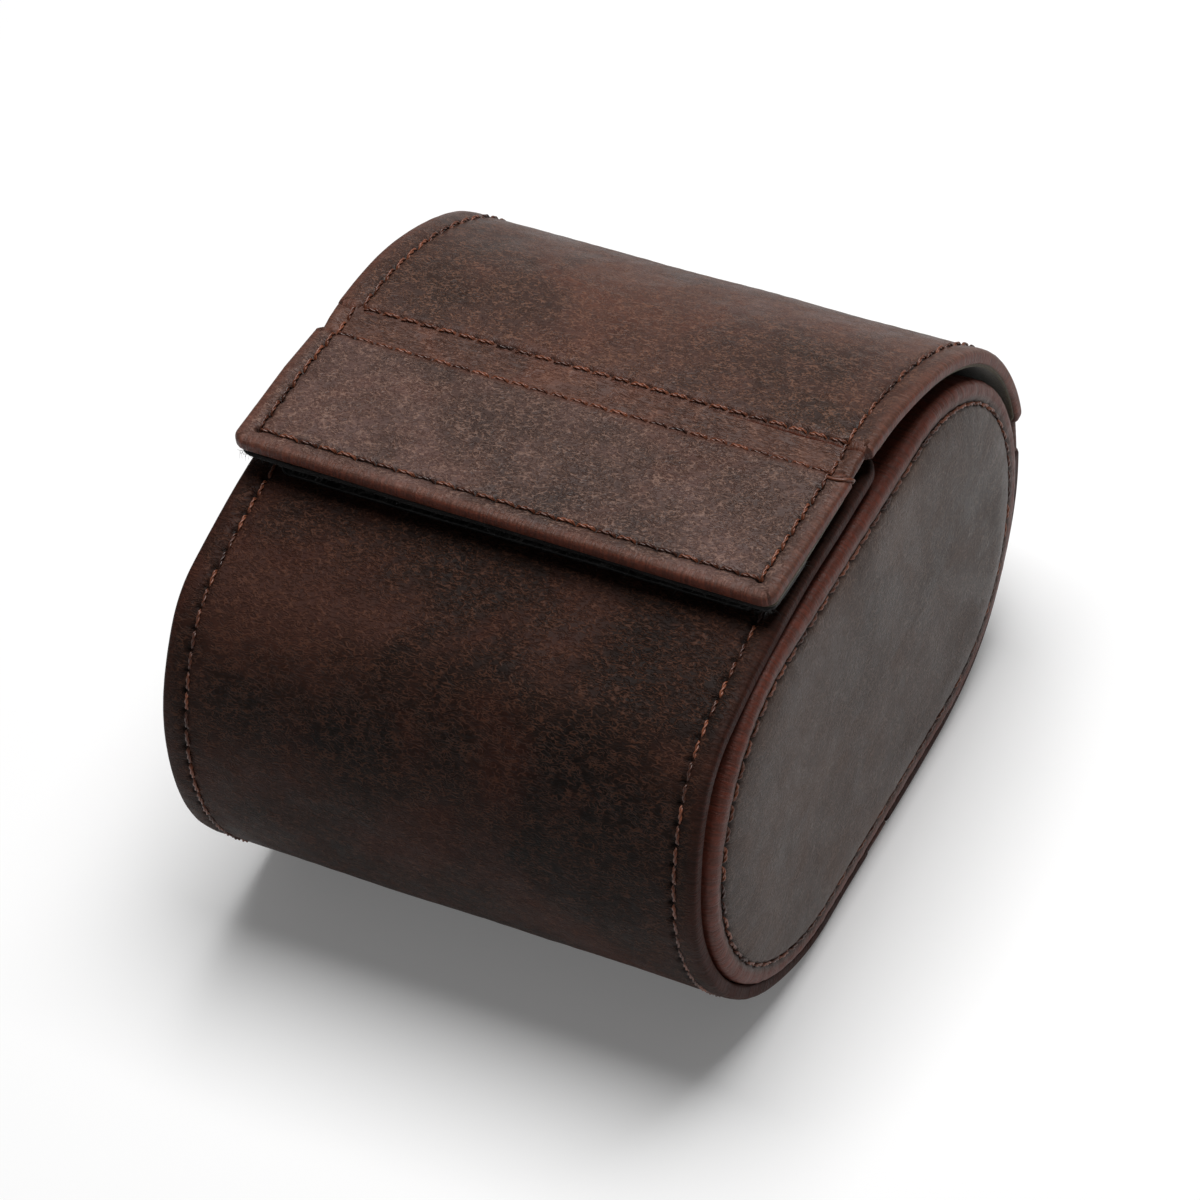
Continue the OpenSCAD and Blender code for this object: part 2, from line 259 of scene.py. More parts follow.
def slabPiece(name, path, look, rows, material, relief=None, shift=0.0):
    # A closed slab on a path: a fine grid on both faces and a rolled edge between them
    wide, out = look["width"] / 2, look["edgeOut"]
    s0, s1 = look["start"], look["end"]
    corners = (look["cornerStart"], look["cornerEnd"])
    sides = [r for r in rows if abs(r["a"][0] - r["b"][0]) < 0.01]
    ends = [r for r in rows if abs(r["a"][1] - r["b"][1]) < 0.01]
    along = (sides[0]["a"][1], sides[0]["b"][1], len(sides[0]["holes"]) - 1) if sides else None
    across = (ends[0]["a"][0], ends[0]["b"][0], len(ends[0]["holes"]) - 1) if ends else None
    xs = gridLine(-wide + out, wide - out, look["grid"], [r["a"][0] for r in sides], across)
    bends = [s0 + corners[0] * f for f in (0.5, 0.8)] + [s1 - corners[1] * f for f in (0.5, 0.8)]
    ss = gridLine(s0 + out, s1 - out, look["grid"], [r["a"][1] for r in ends] + bends, along)
    S, X = np.meshgrid(ss, xs, indexing="ij")
    cut = 0 * S
    for corner, edge, sign in ((corners[0], s0, 1), (corners[1], s1, -1)):
        r = corner - out
        run = np.clip(r - sign * (S - (edge + sign * out)), 0, r)
        cut = cut + r - np.sqrt(np.maximum(r * r - run * run, 0))
    inner = wide - max(corners) - 1.5
    outer = wide - out
    share = np.clip((np.abs(X) - inner) / (outer - inner), 0, 1)
    X = np.where(np.abs(X) > inner, np.sign(X) * (inner + share * (outer - cut - inner)), X)
    m, n = S.shape
    index = np.arange(m * n).reshape(m, n)
    loop = np.concatenate([index[0, :], index[1:, -1], index[-1, -2::-1], index[-2:0:-1, 0]])
    flatX, flatS = X.ravel(), S.ravel()
    lx, ls = flatX[loop], flatS[loop]
    dirX, dirS = np.zeros(len(loop)), np.zeros(len(loop))
    for q in range(len(loop)):
        r = corners[0] if ls[q] < (s0 + s1) / 2 else corners[1]
        dx = max(abs(lx[q]) - (wide - r), 0) * np.sign(lx[q])
        ds = min(ls[q] - (s0 + r), 0) if ls[q] < (s0 + s1) / 2 else max(ls[q] - (s1 - r), 0)
        size = math.hypot(dx, ds)
        if size < 1e-6:
            dx, ds, size = np.sign(lx[q]), 0, 1
        dirX[q], dirS[q] = dx / size, ds / size
    thick = look["thickness"]
    profile = []
    for k in range(1, 7):
        a = math.radians(15 * k)
        profile.append((out * math.sin(a), look["edgeTop"] * (1 - math.cos(a)), 1 - k / 6))
    low = thick - look["edgeBottom"]
    profile.append((out, (look["edgeTop"] + low) / 2, 0))
    for k in range(0, 4):
        a = math.radians(90 - 30 * k) if k < 3 else math.radians(20)
        profile.append((out * math.sin(a), low + look["edgeBottom"] * math.cos(a), 0))
    parts = [(flatX, flatS, 0 * flatX, np.ones(m * n), 0 * flatX, np.stack([flatX, flatS], 1))]
    run, before = 0.0, (0.0, 0.0)
    for o, d, hold in profile:
        run += math.hypot(o - before[0], d - before[1])
        before = (o, d)
        parts.append((
            lx + dirX * o, ls + dirS * o, np.full(len(loop), d), np.full(len(loop), hold),
            np.full(len(loop), min(1.0, o / out)), np.stack([lx + dirX * run, ls + dirS * run], 1),
        ))
    parts.append((flatX, flatS, np.full(m * n, thick), np.zeros(m * n), 0 * flatX,
                  np.stack([flatX + 90, flatS], 1)))
    x, s, d, hold, wear = (np.concatenate([p[k] for p in parts]) for k in range(5))
    flat = np.concatenate([p[5] for p in parts])
    height, dark = seamRelief(x, s, rows, look.get("channel", 0.16), look.get("pit", 0.5))
    sway = look.get("sway", 0.12)
    edgeNear = np.clip(1 - (wide - np.abs(x)) / 6, 0, 1)
    x = x + np.sign(x) * edgeNear * sway * waves(s, 0 * s, 22, look["seed"])
    endNear = np.clip(1 - np.minimum(s - s0, s1 - s) / 6, 0, 1)
    s = s + np.where(s < (s0 + s1) / 2, -1, 1) * endNear * sway * waves(x, 0 * x, 25, look["seed"] + 1)
    sideRim, endRim = wide - np.abs(x), np.minimum(s - s0, s1 - s)
    rim = np.minimum(sideRim, endRim)
    wear = np.maximum(wear, np.exp(-np.clip(rim, 0, 9) / 0.8))
    rimPlace = np.where(sideRim < endRim, s, x + 300)
    height = height + look.get("puff", 0.1) * np.exp(-((rim - 1.7) / 0.9) ** 2)
    patch = 0 * x
    for px, ps, wideX, wideS, value in look.get("wornAreas", {}).values():
        patch = patch + value * np.exp(-((x - px) / wideX) ** 2 - ((s - ps) / wideS) ** 2)
    x = x + look.get("shiftX", 0.0)
    height = height + look.get("swell", 0.1) * waves(x, s, 28, look["seed"] + 2)
    height = height + look.get("pebble", 0.03) * waves(x, s, 3.4, look["seed"] + 3, 11)
    if relief is not None:
        height = height + relief(x, s)
    depth = d - height * hold
    points, _ = placeOn(path, x, s, depth)
    points = leftLift(points, look.get("leftLift", (0, 0)))
    faces = []
    a, b, c, e = index[:-1, :-1], index[:-1, 1:], index[1:, 1:], index[1:, :-1]
    faces.append(np.stack([a, b, c, e], -1).reshape(-1, 4))
    base = m * n
    rings = [loop] + [base + k * len(loop) + np.arange(len(loop)) for k in range(len(profile))]
    base += len(profile) * len(loop)
    rings.append(base + loop)
    for upper, lower in zip(rings[:-1], rings[1:]):
        faces.append(np.stack([lower, np.roll(lower, -1), np.roll(upper, -1), upper], -1))
    faces.append((np.stack([e, c, b, a], -1) + base).reshape(-1, 4))
    faces = np.concatenate(faces).tolist()
    place = np.column_stack([flat[:, 0], flat[:, 1] + shift, np.zeros(len(flat))])
    rimMm = np.column_stack([rimPlace, np.clip(rim, 0, 30), d])
    return meshPiece(name, points, faces, material, {
        "panelMm": place, "rimMm": rimMm, "dark": dark * hold, "wear": wear, "patch": patch,
    })


threadLook = {
    "ply": 0.155, "lay": 0.125, "turns": 1.3, "rise": 0.12, "dip": 0.6,
    "round": 7, "along": 13, "slant": 0.12, "reach": 0.95,
}


def threadPiece(name, rows, material, seed=1):
    # rows: (points, normals) of needle holes in mm; each stitch is two plies laid round each other
    rng = np.random.default_rng(seed)
    look = threadLook
    t = np.linspace(0, 1, look["along"])
    points, faces, tones, base = [], [], [], 0
    for holes, normals in rows:
        for k in range(len(holes) - 1):
            p, q = holes[k], holes[k + 1]
            up = normals[k] + normals[k + 1]
            up = up / np.linalg.norm(up)
            run = q - p
            size = np.linalg.norm(run)
            run = run / size
            side = np.cross(up, run)
            start, tone = rng.uniform(0, 2 * math.pi), rng.uniform(0, 1)
            slant = look["slant"] * rng.uniform(0.6, 1.3)
            lift = look["rise"] + rng.uniform(-0.03, 0.04)
            u = 0.5 + (t - 0.5) * look["reach"]
            arch = 1 - np.abs(2 * t - 1) ** 5
            middle = (p + np.outer(u * size, run) + np.outer((2 * t - 1) * slant, side)
                      + np.outer(lift * arch - look["dip"] * (1 - arch), up))
            for ply in (0, 1):
                angle = start + math.pi * ply + 2 * math.pi * look["turns"] * t
                centre = middle + look["lay"] * (np.outer(np.cos(angle), side) + np.outer(np.sin(angle), up))
                around = np.linspace(0, 2 * math.pi, look["round"], endpoint=False)
                ring = (np.cos(around)[:, None] * side + np.sin(around)[:, None] * up) * look["ply"]
                tube = centre[:, None, :] + ring[None, :, :] * (0.75 + 0.25 * arch)[:, None, None]
                points.append(tube.reshape(-1, 3))
                r, m = look["round"], look["along"]
                for i in range(m - 1):
                    for j in range(r):
                        j2 = (j + 1) % r
                        faces.append([base + i * r + j, base + i * r + j2,
                                      base + (i + 1) * r + j2, base + (i + 1) * r + j])
                faces.append([base + j for j in range(r - 1, -1, -1)])
                faces.append([base + (m - 1) * r + j for j in range(r)])
                tones.append(np.full(m * r, tone))
                base += m * r
    return meshPiece(name, np.concatenate(points), faces, material, {"tone": np.concatenate(tones)})


def holesOn(path, row, lift=(0, 0)):
    # Needle holes of a row as points and normals; on the underside the thread lies deeper
    spots, normals = placeOn(path, row["holes"][:, 0], row["holes"][:, 1], np.zeros(len(row["holes"])))
    spots[:, 2] += np.where(spots[:, 2] < 0.6, 0.42, 0)
    spots = spots - normals * row.get("sink", 0)
    return leftLift(spots, lift), normals


def tubePiece(name, points, radius, material, sides=8, closed=False, marks=None):
    # A round cord through points, with one radius for each point
    points = np.asarray(points, float)
    n = len(points)
    radius = np.broadcast_to(np.asarray(radius, float), (n,))
    ahead = np.roll(points, -1, 0) - np.roll(points, 1, 0)
    if not closed:
        ahead[0], ahead[-1] = points[1] - points[0], points[-1] - points[-2]
    ahead = ahead / np.linalg.norm(ahead, axis=1)[:, None]
    side = np.cross(ahead[0], (0.31, 0.17, 0.93))
    rings = []
    for k in range(n):
        side = side - ahead[k] * (side @ ahead[k])
        side = side / np.linalg.norm(side)
        other = np.cross(ahead[k], side)
        for j in range(sides):
            a = 2 * math.pi * j / sides
            rings.append(points[k] + radius[k] * (math.cos(a) * side + math.sin(a) * other))
    faces = []
    for i in range(n if closed else n - 1):
        i2 = (i + 1) % n
        for j in range(sides):
            j2 = (j + 1) % sides
            faces.append([i * sides + j, i * sides + j2, i2 * sides + j2, i2 * sides + j])
    if not closed:
        faces.append([j for j in range(sides - 1, -1, -1)])
        faces.append([(n - 1) * sides + j for j in range(sides)])
    return meshPiece(name, rings, faces, material, marks or {"tone": np.full(len(rings), 0.5)})


def colour(code):
    out = []
    for k in (1, 3, 5):
        c = int(code[k:k + 2], 16) / 255
        out.append(c / 12.92 if c <= 0.04045 else ((c + 0.055) / 1.055) ** 2.4)
    return (*out, 1.0)


def addNode(material, kind, links=None, **settings):
    # One node with its settings; in_ settings are values of its inputs, links are {input: output}
    node = material.node_tree.nodes.new(kind)
    for key, value in settings.items():
        if key.startswith("in_"):
            name = key[3:]
            socket = node.inputs[int(name)] if name.isdigit() else node.inputs[name.replace("_", " ")]
            socket.default_value = value
        else:
            setattr(node, key, value)
    for target, source in (links or {}).items():
        material.node_tree.links.new(source, node.inputs[target])
    return node


def newMaterial(name):
    material = bpy.data.materials.new(name)
    material.use_nodes = True
    material.node_tree.nodes.clear()
    return material


def rampStops(node, stops):
    ramp = node.color_ramp
    while len(ramp.elements) < len(stops):
        ramp.elements.new(0.5)
    for element, (place, code) in zip(ramp.elements, stops):
        element.position = place
        element.color = colour(code) if isinstance(code, str) else (code, code, code, 1)
    return node


# What the five hides share: sizes in mm, then shares between 0 and 1
grain = {
    "smallCloud": 7.0, "swirlSize": 2.2, "finer": 0.62, "breakUp": 1.7, "pore": 0.32, "pleat": (2.3, 0.35, 0.35),
    "lineWidths": (0.062, 0.06), "creaseLevel": 0.36, "creaseShare": 0.5, "poreShare": 0.35, "pleatShare": 0.45,
    # The near-black colour and its share are painted shade for stitch channels, needle holes and the cap's gathers
    "smallShare": 0.35, "paintedShadeColour": "#0d0604", "paintedShadeShare": 0.93, "depth": 0.05 * mm, "IOR": 1.45,
}


def waxedHide(name, look):
    # Waxed pull-up cowhide, drum dyed, waxed and brushed: clouded colour, fine hair-like creases, satin face
    material = newMaterial(name)
    tree = material.node_tree

    def mark(key, output="Fac"):
        return addNode(material, "ShaderNodeAttribute", attribute_name=key).outputs[output]

    def sums(operation, *values):
        node = addNode(material, "ShaderNodeMath", operation=operation)
        for k, value in enumerate(values):
            if isinstance(value, bpy.types.NodeSocket):
                tree.links.new(value, node.inputs[k])
            else:
                node.inputs[k].default_value = value
        return node.outputs[0]

    def ranged(value, low, high, toLow=0.0, toHigh=1.0):
        node = addNode(material, "ShaderNodeMapRange", {"Value": value}, interpolation_type="SMOOTHSTEP",
                       in_1=low, in_2=high, in_3=toLow, in_4=toHigh)
        return node.outputs[0]

    def mixColour(share, a, b):
        node = addNode(material, "ShaderNodeMix", data_type="RGBA")
        for socket, value in ((node.inputs[0], share), (node.inputs[6], a), (node.inputs[7], b)):
            if isinstance(value, bpy.types.NodeSocket):
                tree.links.new(value, socket)
            else:
                socket.default_value = value
        return node.outputs[2]

    def scaled(vector, scale, turn=0.0, shift=(0, 0, 0)):
        node = addNode(material, "ShaderNodeMapping", {"Vector": vector})
        node.inputs["Scale"].default_value = scale
        node.inputs["Rotation"].default_value = (0, 0, math.radians(turn))
        node.inputs["Location"].default_value = shift
        return node.outputs[0]

    def noise(vector, size, detail=3.0, rough=0.6, bend=0.0):
        return addNode(material, "ShaderNodeTexNoise", {"Vector": vector}, in_Scale=1 / size, in_Detail=detail,
                       in_Roughness=rough, in_Distortion=bend)

    place, wear, dark = mark("panelMm", "Vector"), mark("wear"), mark("dark")
    # Clouds of wax, about 20 mm and 7 mm across, over the broad worn areas
    big = noise(place, look["cloud"], 3.0, 0.55, 0.6).outputs["Fac"]
    small = noise(place, grain["smallCloud"], 5.0, 0.62, 0.4).outputs["Fac"]
    red = noise(scaled(place, (1, 1, 1), 0, (41, 17, 9)), look["redCloud"], 4.0, 0.6, 0.8).outputs["Fac"]
    share = grain["smallShare"]
    cloud = sums("MULTIPLY_ADD", small, share, sums("SUBTRACT", big, share / 2))
    cloud = sums("MULTIPLY_ADD", mark("patch"), look["patchShare"], cloud)
    base = rampStops(addNode(material, "ShaderNodeValToRGB", {"Fac": cloud}),
                     [(0.27, look["deep"]), (0.50, look["middle"]), (0.73, look["light"])]).outputs[0]
    skin = mixColour(ranged(red, 0.46, 0.68, 0.0, look["redShare"]), base, colour(look["red"]))
    # Hair-like creases about 0.4 mm apart: level lines of a fine noise, broken up by a coarser one
    swirl = noise(place, grain["swirlSize"], 2.0).outputs["Color"]
    swirl = addNode(material, "ShaderNodeVectorMath", {0: swirl}, operation="SCALE")
    swirl.inputs["Scale"].default_value = look["swirl"]
    bent = addNode(material, "ShaderNodeVectorMath", {0: place, 1: swirl.outputs[0]}, operation="ADD").outputs[0]
    lines = None
    creases = None
    sizes = (look["hairSize"], look["hairSize"] * grain["finer"])
    for size, width, shift in zip(sizes, grain["lineWidths"], (0, 31)):
        along = scaled(bent, look["hairScale"], look["hairTurn"], (shift, shift, 0))
        field = noise(along, size, 0.6).outputs["Fac"]
        line = ranged(sums("ABSOLUTE", sums("SUBTRACT", field, 0.5)), 0.0, width, 1.0, 0.0)
        crease = ranged(sums("ABSOLUTE", sums("SUBTRACT", field, grain["creaseLevel"])), 0.0, width, 1.0, 0.0)
        creases = crease if creases is None else sums("MAXIMUM", creases, crease)
        coarse = noise(scaled(place, (1, 1, 1), 0, (shift, 7, 3)), grain["breakUp"], 1.0).outputs["Fac"]
        broken = ranged(coarse, 0.34, 0.58)
        line = sums("MULTIPLY", line, broken)
        lines = line if lines is None else sums("MAXIMUM", lines, line)
    flatter = ranged(wear, 0.0, 0.5, 1.0, 0.35)
    lines = sums("MULTIPLY", lines, flatter)
    creases = sums("MULTIPLY", creases, flatter)
    creased = sums("MULTIPLY", creases, look["hairShare"] * grain["creaseShare"])
    skin = mixColour(creased, skin, colour(look["deep"]))
    skin = mixColour(sums("MULTIPLY", lines, look["hairShare"]), skin, colour(look["hair"]))
    pores = noise(place, grain["pore"], 4.0, 0.65).outputs["Fac"]
    skin = mixColour(ranged(pores, 0.56, 0.72, 0.0, grain["poreShare"]), skin, colour(look["deep"]))
    # Fine pleats across the turned edge, 0.4 mm apart
    pleats = noise(scaled(mark("rimMm", "Vector"), grain["pleat"]), 1.0, 3.0, 0.6, 0.5).outputs["Fac"]
    pleated = sums("MULTIPLY", ranged(wear, 0.04, 0.45), ranged(pleats, 0.40, 0.60))
    skin = mixColour(sums("MULTIPLY", ranged(wear, 0.05, 0.40), look["wornShare"]), skin, colour(look["worn"]))
    skin = mixColour(sums("MULTIPLY", ranged(wear, 0.72, 0.98), 0.85), skin, colour(look["side"]))
    skin = mixColour(sums("MULTIPLY", pleated, grain["pleatShare"]), skin, colour(look["deep"]))
    # Painted shade: near-black laid into the stitch channels, the needle holes and the troughs of the cap's gathers
    skin = mixColour(sums("MULTIPLY", dark, grain["paintedShadeShare"]), skin, colour(grain["paintedShadeColour"]))

    rough = ranged(small, 0.3, 0.7, look["rough"] - 0.06, look["rough"] + 0.08)
    relief = sums("MULTIPLY_ADD", pleated, -1.2, sums("SUBTRACT", lines, creases))
    relief = sums("MULTIPLY_ADD", pores, 0.5, relief)
    bump = addNode(material, "ShaderNodeBump", {"Height": relief}, in_Strength=look["bump"],
                   in_Distance=grain["depth"])
    shader = addNode(material, "ShaderNodeBsdfPrincipled", {
        "Base Color": skin, "Roughness": rough, "Normal": bump.outputs[0],
    }, in_IOR=grain["IOR"], in_Specular_IOR_Level=look["gloss"])
    addNode(material, "ShaderNodeOutputMaterial", {"Surface": shader.outputs[0]})
    return material


hideBase = {
    "redShare": 0.35, "swirl": 0.9, "hairSize": 0.85, "patchShare": 0.18, "rough": 0.50, "bump": 1.0, "gloss": 0.4,
}
hideLooks = {
    "lid": {"cloud": 26, "redCloud": 22, "deep": "#26170f", "middle": "#3d2720", "light": "#5b3a2e",
            "red": "#5e3426", "hair": "#8c634d", "hairShare": 0.42, "hairTurn": 15, "hairScale": (0.8, 1.5, 1.0),
            "patchShare": 0.13, "worn": "#774431", "wornShare": 0.4, "side": "#6b3220"},
    "flap": {"cloud": 18, "redCloud": 16, "deep": "#281a16", "middle": "#412c25", "light": "#59403a",
             "red": "#5f382b", "hair": "#957565", "hairShare": 0.42, "hairTurn": 80, "hairScale": (0.8, 1.5, 1.0),
             "worn": "#774431", "wornShare": 0.4, "side": "#6b3220"},
    # The body hide is a darker, less glossy copy of the same wrap leather: painted shade for the front and back
    # panels, which turn away from the overhead lamp
    "body": {"cloud": 22, "redCloud": 20, "deep": "#120b08", "middle": "#20130e", "light": "#38211a",
             "red": "#3c1c13", "redShare": 0.45, "hair": "#5c3b2c", "hairShare": 0.5, "swirl": 1.1, "hairTurn": 6,
             "hairScale": (0.7, 1.7, 1.0), "hairSize": 0.9, "worn": "#482419", "patchShare": 0.2,
             "wornShare": 0.3, "side": "#3f1c13", "rough": 0.55, "gloss": 0.12},
    "cap": {"cloud": 24, "redCloud": 30, "deep": "#2d1f18", "middle": "#3c2b23", "light": "#4f3a2f",
            "red": "#4a342a", "redShare": 0.3, "hair": "#7a6458", "hairShare": 0.35, "hairTurn": 40,
            "hairScale": (0.9, 1.3, 1.0),
            "worn": "#642c1c", "wornShare": 0.95, "side": "#5c281a", "bump": 0.8},
    "fold": {"cloud": 16, "redCloud": 15, "deep": "#2f1d17", "middle": "#482e25", "light": "#5c3c30",
             "red": "#663a2a", "redShare": 0.4, "hair": "#8a6350", "hairShare": 0.38, "swirl": 0.7, "hairTurn": 0,
             "hairScale": (0.5, 1.9, 1.0), "worn": "#7a4c3a", "wornShare": 0.3,
             "side": "#57291a", "rough": 0.52},
}
hideLooks = {key: {**hideBase, **look} for key, look in hideLooks.items()}
hides = {key: waxedHide("waxedCowhide_" + key, look) for key, look in hideLooks.items()}


def twistedThread(name, deep, light):
    # Waxed bonded polyester thread, two plies: a slight gleam along each ply and dark between them
    material = newMaterial(name)
    tone = addNode(material, "ShaderNodeAttribute", attribute_name="tone").outputs["Fac"]
    shade = rampStops(addNode(material, "ShaderNodeValToRGB", {"Fac": tone}), [(0.0, deep), (1.0, light)])
    spot = addNode(material, "ShaderNodeTexCoord").outputs["Object"]
    fuzz = addNode(material, "ShaderNodeTexNoise", {"Vector": spot}, in_Scale=9000.0, in_Detail=2.0)
    bump = addNode(material, "ShaderNodeBump", {"Height": fuzz.outputs["Fac"]}, in_Strength=0.4,
                   in_Distance=0.00004)
    shader = addNode(material, "ShaderNodeBsdfPrincipled", {
        "Base Color": shade.outputs[0], "Normal": bump.outputs[0],
    }, in_Roughness=0.36, in_IOR=1.52)
    addNode(material, "ShaderNodeOutputMaterial", {"Surface": shader.outputs[0]})
    return material


def nappedCloth(name, deep, light, napSize, rough=0.95, sheen=0.35):
    # Brushed microfibre suede: short nap lying in drifts, no shine, pale at grazing angles
    material = newMaterial(name)
    spot = addNode(material, "ShaderNodeTexCoord").outputs["Object"]
    drift = addNode(material, "ShaderNodeTexNoise", {"Vector": spot}, in_Scale=1 / (9 * mm), in_Detail=3.0)
    nap = addNode(material, "ShaderNodeTexNoise", {"Vector": spot}, in_Scale=1 / (napSize * mm),
                  in_Detail=4.0, in_Roughness=0.7)
    both = addNode(material, "ShaderNodeMath", {0: drift.outputs["Fac"], 1: nap.outputs["Fac"]},
                   operation="ADD")
    halved = addNode(material, "ShaderNodeMath", {0: both.outputs[0]}, operation="MULTIPLY", in_1=0.5)
    shade = rampStops(addNode(material, "ShaderNodeValToRGB", {"Fac": halved.outputs[0]}),
                      [(0.38, deep), (0.62, light)])
    bump = addNode(material, "ShaderNodeBump", {"Height": nap.outputs["Fac"]}, in_Strength=0.6,
                   in_Distance=0.0002)
    shader = addNode(material, "ShaderNodeBsdfPrincipled", {
        "Base Color": shade.outputs[0], "Normal": bump.outputs[0],
    }, in_Roughness=rough, in_Sheen_Weight=sheen, in_Sheen_Roughness=0.4)
    addNode(material, "ShaderNodeOutputMaterial", {"Surface": shader.outputs[0]})
    return material


threadMaterial = twistedThread("waxedPolyesterThread", "#2e160e", "#7c4730")
olive = nappedCloth("brushedMicrosuedeOlive", "#2c2413", "#4f4328", 0.35)
tan = nappedCloth("brushedMicrosuedeTan", "#5a452b", "#7d6544", 0.35)
loopBlack = nappedCloth("knittedNylonLoop", "#070707", "#1d1b1a", 0.3, 0.9, 0.2)
hookBlack = nappedCloth("mouldedNylonHook", "#0c0c0c", "#1a1919", 0.6, 0.45, 0.0)
paperboard = nappedCloth("pressedPaperboard", "#77624a", "#927a5e", 0.8, 0.8, 0.0)
felt = nappedCloth("needledPolyesterFelt", "#25211d", "#38322c", 0.6)
wadding = nappedCloth("polyesterWadding", "#b9b0a0", "#d6cfc2", 1.2)
print("materials made")

nodeFinish = {
    "board": paperboard, "padding": felt, "lining": olive, "suede": olive, "core": wadding,
    "hook_tape": hookBlack, "loop_tape": loopBlack, "cushion": tan,
}
for nodeName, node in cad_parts.items():
    finish = next((m for key, m in nodeFinish.items() if key in nodeName), hides["body"])
    node.data.materials.clear()
    node.data.materials.append(finish)

# The four stiff panels
panelLook = {
    "start": 0.0, "thickness": 2.0, "edgeOut": 0.7, "edgeTop": 0.75, "edgeBottom": 0.5, "grid": 0.5,
    "puff": 0.10, "swell": 0.12,
}
flapLook = {
    **panelLook, "width": 80.0, "end": 24.7, "cornerStart": 2.0, "cornerEnd": 0.9, "seed": 11, "swell": 0.10,
    "leftLift": (1.5, 0.9),
    "wornAreas": {"paleRightEnd": (36, 12, 14, 14, 0.5)},
}
lidLook = {
    **panelLook, "width": 81.8, "shiftX": -0.2, "start": -0.7, "end": lidPath["length"], "cornerStart": 0.9,
    "cornerEnd": 2.0, "seed": 23,
    "wornAreas": {"rubbedTop": (5, 22, 18, 14, 0.6)},
}
bodyLook = {**panelLook, "width": 81.0, "shiftX": -0.5, "thickness": 2.2, "cornerStart": 1.2}


def softStart(x, s, edge, drop, run):
    # The leather slopes down into a fold
    return -drop * (1 - np.clip((s - edge) / run, 0, 1)) ** 2


flapRows = [*sideRows(inset, 24.0), crossRow(inset), crossRow(24.0, 0.22)]
flapPanel = slabPiece(
    "flapPanelHide", flapPath, flapLook, flapRows, hides["flap"],
    lambda x, s: -0.35 * np.clip((s - 23.6) / 1.1, 0, 1) ** 2 - 0.05 * np.exp(-((s - 7.4) / 0.3) ** 2),
)
dress(flapPanel, "flap", "wrap_leather", "flap_leather", "flap_board")

lidLength = lidPath["length"]
lidRows = [*sideRows(0.0, lidLength - inset), crossRow(0.0, 0.22), crossRow(lidLength - inset)]
lidPanel = slabPiece(
    "lidPanelHide", lidPath, lidLook, lidRows, hides["lid"],
    lambda x, s: softStart(x, s, -0.7, 0.45, 1.3), shift=30,
)
dress(lidPanel, "lid", "wrap_leather", "lid_leather")

frontLength = frontPath["length"]
frontLook = dict(bodyLook, end=frontLength, cornerEnd=4.0, seed=37, wornAreas={
    "darkBelly": (5, 82, 36, 9, -0.9), "warmShoulder": (-28, 96, 20, 9, 0.9),
})
frontRows = [*sideRows(inset, frontLength - inset), crossRow(inset), crossRow(frontLength - inset)]
frontPanel = slabPiece("frontPanelHide", frontPath, frontLook, frontRows, hides["body"], shift=200)
dress(frontPanel, "case", "wrap_leather", "front_leather")

backLength = backPath["length"]
backLook = dict(bodyLook, end=backLength, cornerEnd=1.2, seed=53)
backRows = [*sideRows(inset, backLength - inset), crossRow(inset), crossRow(backLength - inset)]
backPanel = slabPiece("backPanelHide", backPath, backLook, backRows, hides["body"], shift=120)
dress(backPanel, "case", "wrap_leather", "back_leather")

for name, path, rows, body, seed in (
    ("flapThread", flapPath, flapRows, "flap", 3), ("lidThread", lidPath, lidRows, "lid", 4),
    ("frontThread", frontPath, frontRows, "case", 5), ("backThread", backPath, backRows, "case", 6),
):
    lift = flapLook["leftLift"] if body == "flap" else (0, 0)
    piece = threadPiece(name, [holesOn(path, row, lift) for row in rows], threadMaterial, seed)
    dress(piece, body, "fold_leather")
print("panels and their stitching made")

# Bare leather folds between the panels
foldLook = {
    "width": 79.4, "thickness": 1.1, "edgeOut": 0.45, "edgeTop": 0.5, "edgeBottom": 0.5,
    "cornerStart": 0.6, "cornerEnd": 0.6, "grid": 0.45, "seed": 71, "puff": 0.0, "swell": 0.05, "sway": 0.2,
}
topFoldLook = dict(foldLook, leftLift=(1.2, 0.9))
topFoldPath = tracePath([
    ("line", (2.0, 67.85), (3.4, 68.05)), ("line", (3.4, 68.05), (5.6, 68.20)),
    ("line", (5.6, 68.20), (7.4, 68.45)), ("line", (7.4, 68.45), (9.2, 68.50)),
])
topFold = slabPiece(
    "topFoldStrip", topFoldPath, dict(topFoldLook, start=0.0, end=topFoldPath["length"]), [], hides["fold"],
    lambda x, s: (-0.14 * np.exp(-((s - 3.9) / 0.22) ** 2) + 0.05 * np.exp(-((s - 4.4) / 0.2) ** 2)
                  + 0.5 * np.clip((np.abs(x) - 37.0) / 1.5, 0, 1) * np.exp(-((s - 3.7) / 1.5) ** 2)
                  - 0.3 * np.exp(-((np.abs(x) - 37.4) / 0.3) ** 2 - ((s - 3.6) / 1.6) ** 2)
                  - 0.2 * np.clip((np.abs(x) - 37.6) / 1.0, 0, 1) * np.exp(-((s - 4.3) / 0.25) ** 2)),
    shift=25,
)
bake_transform(topFold)
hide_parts("top_fold")

foldRows = sideRows(0.3, 6.5)
foldHoles = [holesOn(topFoldPath, row, topFoldLook["leftLift"]) for row in foldRows]
foldThread = threadPiece("topFoldThread", [(q + (0, 0, 0.15), n) for q, n in foldHoles], threadMaterial, 8)
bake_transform(foldThread)


